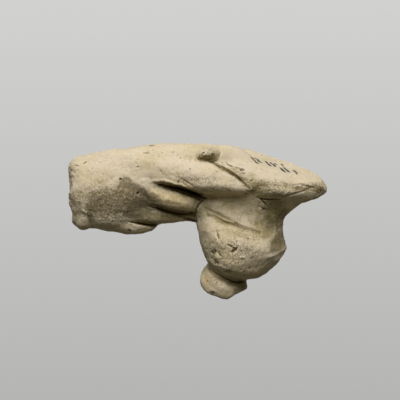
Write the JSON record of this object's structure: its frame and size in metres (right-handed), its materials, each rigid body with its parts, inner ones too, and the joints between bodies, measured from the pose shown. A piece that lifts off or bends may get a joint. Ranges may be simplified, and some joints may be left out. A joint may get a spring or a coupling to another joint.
{
  "type": "figurine fragment",
  "caption": "Fired clay hand, broken off at the wrist, gripping the handle of a small jug with a flared, filled mouth and a stubby foot.",
  "frame": {"origin": "centre of the fragment's outline, on the surface that it lies on", "axes": "+X from the broken wrist to the jug's spout, +Y up the jug to its mouth, +Z out of the back of the hand"},
  "size_m": [0.0724, 0.0436, 0.0215],
  "materials": {
    "fired_clay": "matt, unglazed, grainy fired clay with dark specks, stains and dirt in its grooves"
  },
  "bodies": {
    "root": {"hand_with_jug": "fired_clay"}
  },
  "joints": []
}
